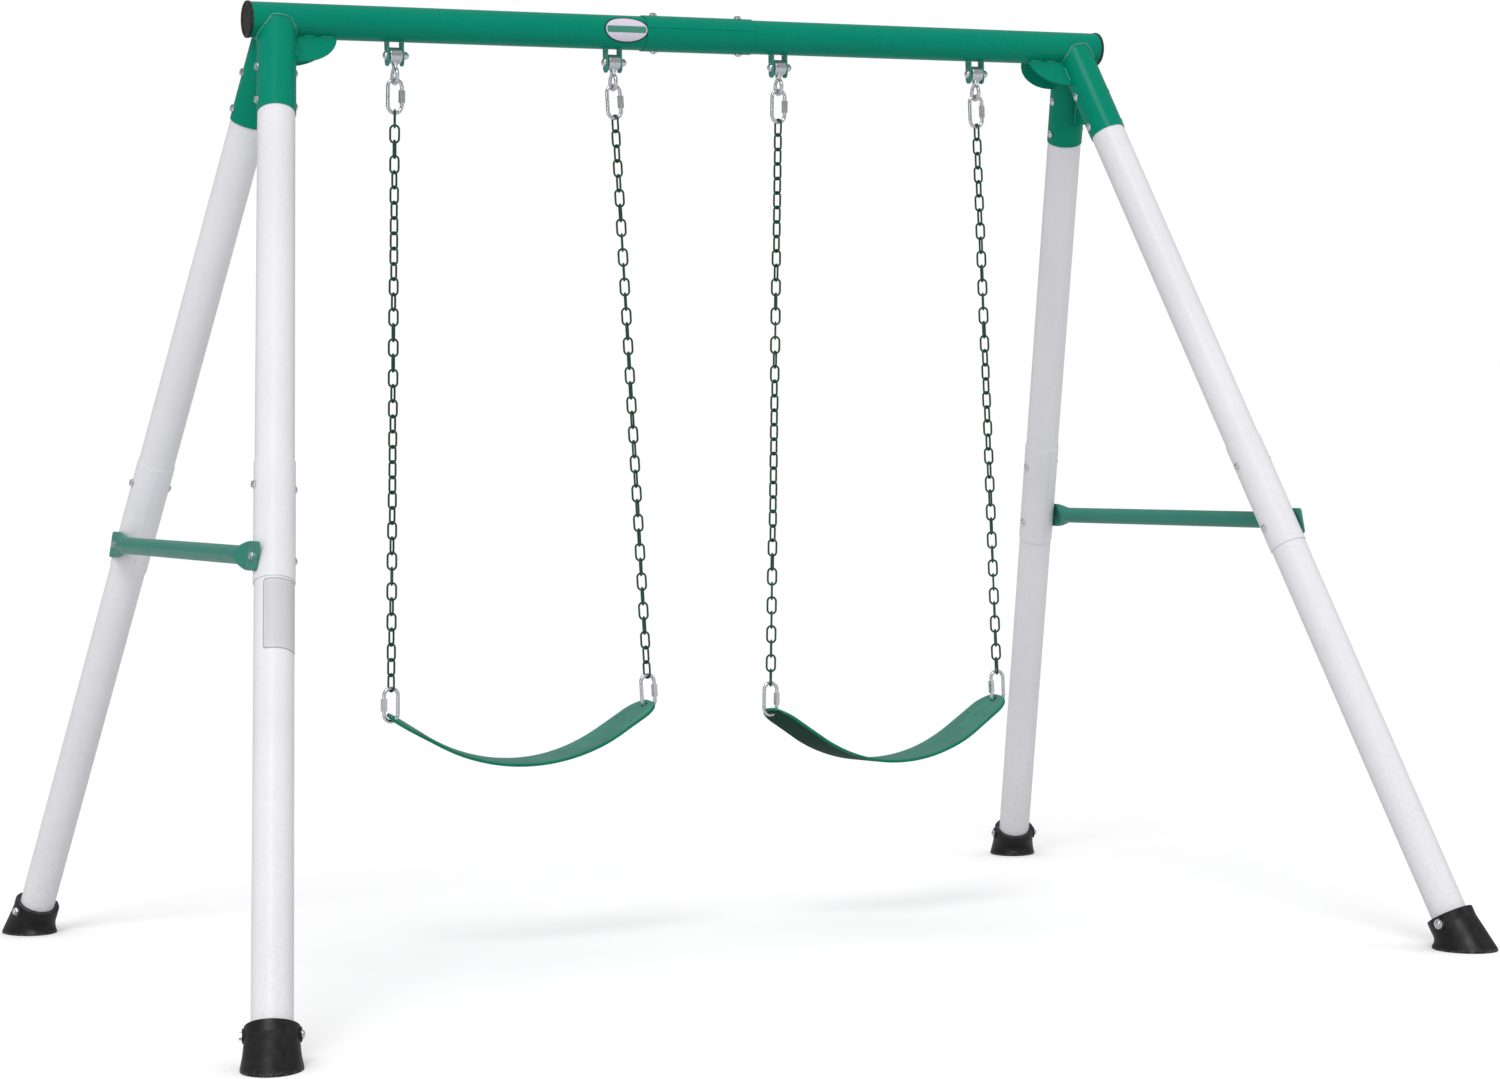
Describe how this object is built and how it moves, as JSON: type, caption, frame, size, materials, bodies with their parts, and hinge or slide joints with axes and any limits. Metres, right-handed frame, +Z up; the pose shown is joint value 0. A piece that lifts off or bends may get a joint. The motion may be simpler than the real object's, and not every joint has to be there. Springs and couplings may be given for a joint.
{
  "type": "swing set",
  "caption": "Free-standing playground swing set: splayed tubular A-frames with cross bars, a sleeved round beam, and belt seats on straight-link chains.",
  "frame": {"origin": "on the ground, under the middle of the beam", "axes": "+X along the beam to the right, +Y to the rear, +Z up"},
  "size_m": [2.6848, 2.0596, 2.0132],
  "materials": {
    "frame_green": "semi-gloss powder coat, teal green",
    "leg_cream": "semi-gloss powder coat, near-white",
    "bar_green": "semi-gloss powder coat, paler green",
    "chain_green": "plastic-like green coating on steel links",
    "zinc": "bright zinc plating",
    "black_plastic": "moulded, fine grain, soft sheen",
    "belt_green": "fine-grained flexible belt",
    "bushing_nylon": "natural nylon"
  },
  "bodies": {
    "frame": {"beam_coupling_sleeve": "frame_green", "beam_sleeve_bolts": "zinc", "beam_tube_left": "frame_green", "beam_tube_right": "frame_green", "boot_bolts": "zinc", "cross_bar_bolts": "zinc", "cross_bar_left": "bar_green", "cross_bar_right": "bar_green", "end_cap_left": "black_plastic", "end_cap_right": "black_plastic", "foot_boot_front_left": "black_plastic", "foot_boot_front_right": "black_plastic", "foot_boot_rear_left": "black_plastic", "foot_boot_rear_right": "black_plastic", "frame_nuts": "zinc", "gusset_plates": "frame_green", "hanger_bushings": "bushing_nylon", "hanger_ears": "bar_green", "hanger_pivot_bolts": "zinc", "hanger_pivot_nuts": "zinc", "leg_bolts": "zinc", "leg_sleeve_front_left": "leg_cream", "leg_sleeve_front_right": "leg_cream", "leg_sleeve_rear_left": "leg_cream", "leg_sleeve_rear_right": "leg_cream", "leg_socket_front_left": "frame_green", "leg_socket_front_right": "frame_green", "leg_socket_rear_left": "frame_green", "leg_socket_rear_right": "frame_green", "lower_leg_front_left": "leg_cream", "lower_leg_front_right": "leg_cream", "lower_leg_rear_left": "leg_cream", "lower_leg_rear_right": "leg_cream", "socket_webs": "frame_green", "upper_leg_front_left": "leg_cream", "upper_leg_front_right": "leg_cream", "upper_leg_rear_left": "leg_cream", "upper_leg_rear_right": "leg_cream"},
    "hanger_left_1": {"swing1_hanger_left": "zinc"},
    "hanger_right_1": {"swing1_hanger_right": "zinc"},
    "chains_1": {"swing1_upper_quick_links": "zinc", "swing1_lower_quick_links": "zinc", "swing1_quick_link_nuts": "zinc", "swing1_chain_left": "chain_green", "swing1_chain_right": "chain_green"},
    "seat_1": {"swing1_belt_seat": "belt_green", "swing1_seat_inserts": "zinc"},
    "hanger_left_2": {"swing2_hanger_left": "zinc"},
    "hanger_right_2": {"swing2_hanger_right": "zinc"},
    "chains_2": {"swing2_upper_quick_links": "zinc", "swing2_lower_quick_links": "zinc", "swing2_quick_link_nuts": "zinc", "swing2_chain_left": "chain_green", "swing2_chain_right": "chain_green"},
    "seat_2": {"swing2_belt_seat": "belt_green", "swing2_seat_inserts": "zinc"}
  },
  "joints": [
    {"name": "swing1_pivot", "type": "hinge", "parent": "frame", "child": "hanger_left_1", "pos_m": [-0.6868, 0, 1.9038], "axis": [1, 0, 0], "range_deg": [-60, 60]},
    {"name": "swing1_pivot_right", "type": "hinge", "parent": "frame", "child": "hanger_right_1", "pos_m": [-0.1961, 0, 1.9038], "axis": [1, 0, 0], "range_deg": [-60, 60]},
    {"name": "swing1_chain_hook", "type": "hinge", "parent": "hanger_left_1", "child": "chains_1", "pos_m": [-0.6868, 0, 1.8542], "axis": [1, 0, 0], "range_deg": [-25, 25]},
    {"name": "swing1_seat_hook", "type": "hinge", "parent": "chains_1", "child": "seat_1", "pos_m": [-0.4358, 0, 0.52077], "axis": [1, 0, 0], "range_deg": [-20, 20]},
    {"name": "swing2_pivot", "type": "hinge", "parent": "frame", "child": "hanger_left_2", "pos_m": [0.1961, 0, 1.9038], "axis": [1, 0, 0], "range_deg": [-60, 60]},
    {"name": "swing2_pivot_right", "type": "hinge", "parent": "frame", "child": "hanger_right_2", "pos_m": [0.6868, 0, 1.9038], "axis": [1, 0, 0], "range_deg": [-60, 60]},
    {"name": "swing2_chain_hook", "type": "hinge", "parent": "hanger_left_2", "child": "chains_2", "pos_m": [0.1961, 0, 1.8542], "axis": [1, 0, 0], "range_deg": [-25, 25]},
    {"name": "swing2_seat_hook", "type": "hinge", "parent": "chains_2", "child": "seat_2", "pos_m": [0.4314, 0, 0.4888], "axis": [1, 0, 0], "range_deg": [-20, 20]}
  ],
  "couplings": [
    {"joint": "swing1_pivot_right", "follows": "swing1_pivot", "ratio": 1},
    {"joint": "swing2_pivot_right", "follows": "swing2_pivot", "ratio": 1}
  ]
}
